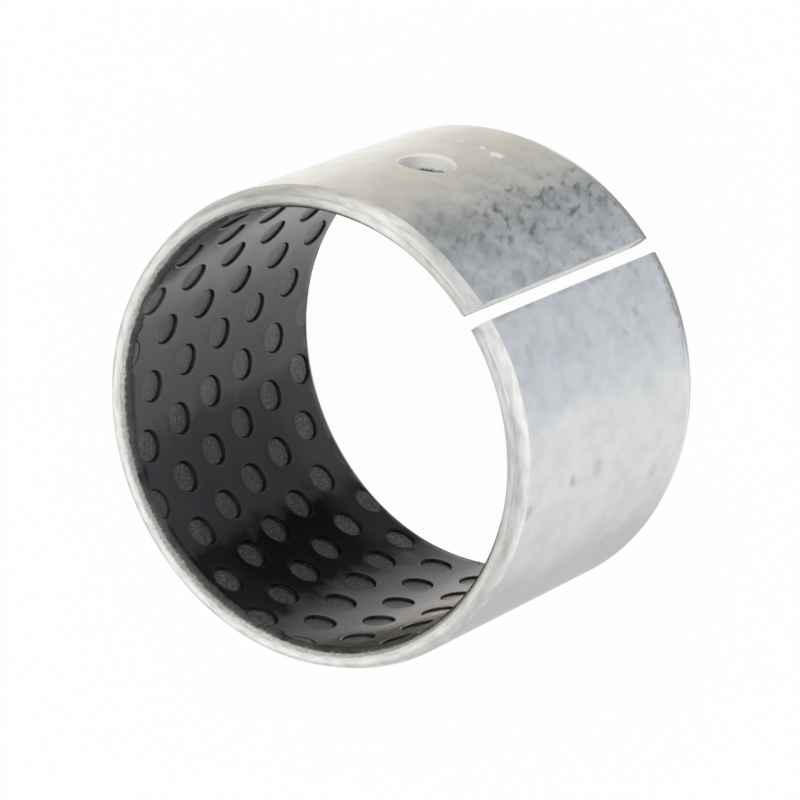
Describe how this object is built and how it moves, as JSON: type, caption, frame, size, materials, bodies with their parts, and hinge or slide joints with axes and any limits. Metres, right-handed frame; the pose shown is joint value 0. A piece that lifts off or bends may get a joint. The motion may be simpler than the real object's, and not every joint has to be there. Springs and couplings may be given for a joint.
{
  "type": "split sleeve bearing",
  "caption": "Split sleeve bearing: a rolled steel bush lined with dark plastic that holds lubricant in round pockets, with an open joint and an oil hole, made to carry a turning shaft.",
  "frame": {"origin": "on the bore's axis, at the end that the bush stands on", "axes": "+Z along the bore, up from the end it stands on; -Y points out through the open joint; +X completes the frame"},
  "size_m": [0.044, 0.044, 0.03],
  "materials": {
    "plated_steel": "satin",
    "acetal_lining": "gloss"
  },
  "bodies": {
    "root": {"steel_shell": "plated_steel", "bearing_lining": "acetal_lining"}
  },
  "joints": []
}
